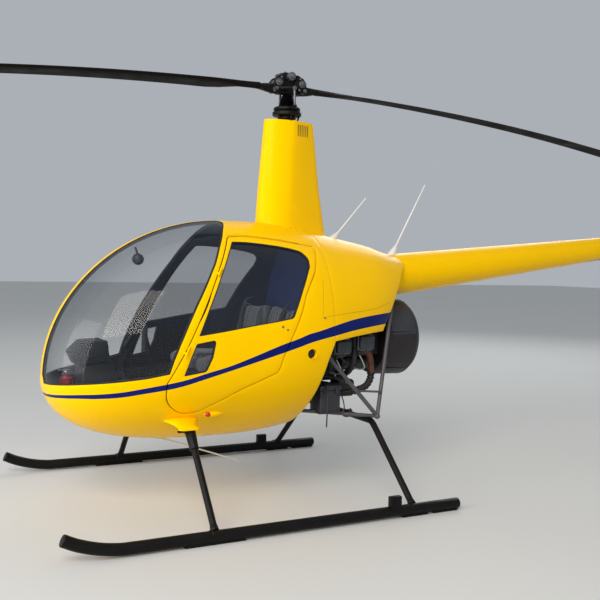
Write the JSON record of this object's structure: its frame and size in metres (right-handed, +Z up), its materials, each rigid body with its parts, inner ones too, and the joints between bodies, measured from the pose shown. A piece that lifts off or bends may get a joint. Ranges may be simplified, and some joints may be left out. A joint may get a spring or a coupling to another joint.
{
  "type": "light piston helicopter",
  "caption": "Light piston helicopter on skids, with a rounded glazed cabin, opening doors, a teetering rotor on a tall mast, an open engine bay, tail cone, fins and tail rotor.",
  "frame": {"origin": "on the ground, at the middle of the bounding box in length and width", "axes": "+X forward along the fuselage, +Y to port, +Z up"},
  "size_m": [8.6988, 1.944, 2.72],
  "materials": {
    "yellow_paint": "gloss",
    "black_paint": "satin",
    "grey_paint": "satin",
    "exhaust_steel": "heat stained",
    "clear_glazing": "clear acrylic",
    "black_plastic": "matte",
    "grey_fabric": "woven",
    "blue_carpet": "short pile",
    "red_lens": "gloss",
    "white_plastic": "gloss"
  },
  "bodies": {
    "airframe": {"windshield_left": "clear_glazing", "windshield_right": "clear_glazing", "cabin_shell": "yellow_paint", "landing_lamp": "clear_glazing", "aft_cowl": "yellow_paint", "firewall": "blue_carpet", "cabin_floor": "black_plastic", "seat_base": "black_plastic", "seat_cushion_left": "grey_fabric", "seat_back_left": "grey_fabric", "seat_cushion_right": "grey_fabric", "seat_back_right": "grey_fabric", "instrument_console": "black_plastic", "control_stick": "black_plastic", "compass": "black_plastic", "mast_fairing": "yellow_paint", "mast_tube": "grey_paint", "tail_cone": "yellow_paint", "fin_upper": "yellow_paint", "fin_lower": "yellow_paint", "stabiliser": "yellow_paint", "tail_gearbox": "grey_paint", "skid_left": "black_paint", "skid_right": "black_paint", "strut_front_left": "black_paint", "strut_front_right": "black_paint", "cross_tube_rear": "black_paint", "engine_frame": "grey_paint", "engine_crankcase": "grey_paint", "cylinder_bank_left": "grey_paint", "cylinder_bank_right": "grey_paint", "fan_housing": "black_paint", "exhaust_system": "exhaust_steel", "side_lamp_left": "red_lens", "side_lamp_right": "red_lens", "aerial_roof_front": "white_plastic", "aerial_roof_rear": "white_plastic", "aerial_belly": "white_plastic"},
    "left_door": {"door_left": "yellow_paint", "door_window_left": "clear_glazing", "door_lower_window_left": "clear_glazing"},
    "right_door": {"door_right": "yellow_paint", "door_window_right": "clear_glazing", "door_lower_window_right": "clear_glazing"},
    "main_rotor": {"rotor_head": "black_paint", "main_blade_fore": "black_paint", "main_blade_aft": "black_paint"},
    "tail_rotor_unit": {"tail_rotor": "black_paint"}
  },
  "joints": [
    {"name": "left_door_hinge", "type": "hinge", "parent": "airframe", "child": "left_door", "pos_m": [1.3745, 0.56303, 0.972], "axis": [0.4407, 0.198, -0.8755], "range_deg": [0, 80]},
    {"name": "right_door_hinge", "type": "hinge", "parent": "airframe", "child": "right_door", "pos_m": [1.3745, -0.56303, 0.972], "axis": [-0.4407, 0.198, 0.8755], "range_deg": [0, 80]},
    {"name": "main_rotor_spin", "type": "hinge", "parent": "airframe", "child": "main_rotor", "pos_m": [0.5155, 0, 2.5], "axis": [0, 0, 1], "continuous": true},
    {"name": "tail_rotor_spin", "type": "hinge", "parent": "airframe", "child": "tail_rotor_unit", "pos_m": [-3.8695, 0, 1.82007], "axis": [0, 1, 0], "continuous": true}
  ],
  "couplings": [
    {"joint": "tail_rotor_spin", "follows": "main_rotor_spin", "ratio": -6.41}
  ]
}
